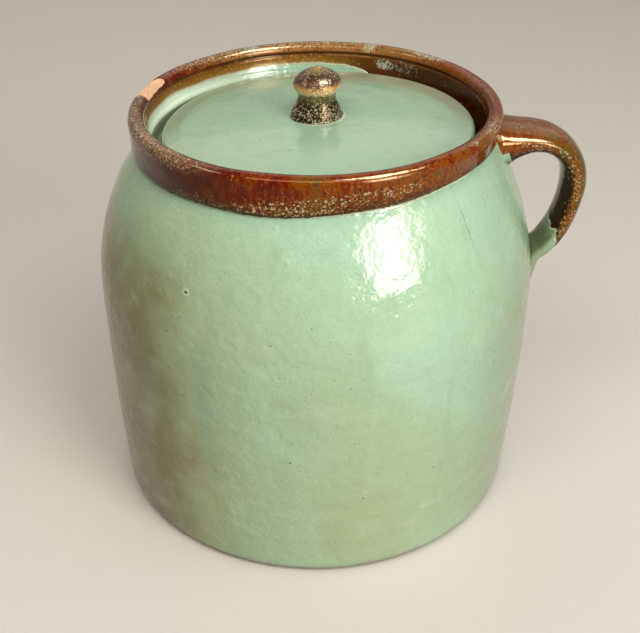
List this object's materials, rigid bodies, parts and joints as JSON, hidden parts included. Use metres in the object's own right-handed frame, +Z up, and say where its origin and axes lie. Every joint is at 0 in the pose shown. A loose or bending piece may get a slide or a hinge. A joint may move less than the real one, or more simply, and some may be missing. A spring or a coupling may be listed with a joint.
{
  "type": "lidded ceramic storage jar",
  "caption": "Squat barrel-shaped glazed ceramic storage jar with a banded collar, a strap handle at the shoulder and a loose domed lid with a turned knob, sunk in the mouth.",
  "frame": {"origin": "middle of the flat foot, on the surface the jar stands on", "axes": "+Z up along the jar's own axis, +X towards the handle"},
  "size_m": [0.2657, 0.24, 0.2451],
  "materials": {
    "jar_glaze": "glossy pale green glaze, with a glossy brown glaze over the collar, rim and handle and bare clay in the chip",
    "lid_glaze": "glossy pale green glaze, with a speckled brown glaze on the knob"
  },
  "bodies": {
    "root": {"jar": "jar_glaze", "lid": "lid_glaze"}
  },
  "joints": []
}
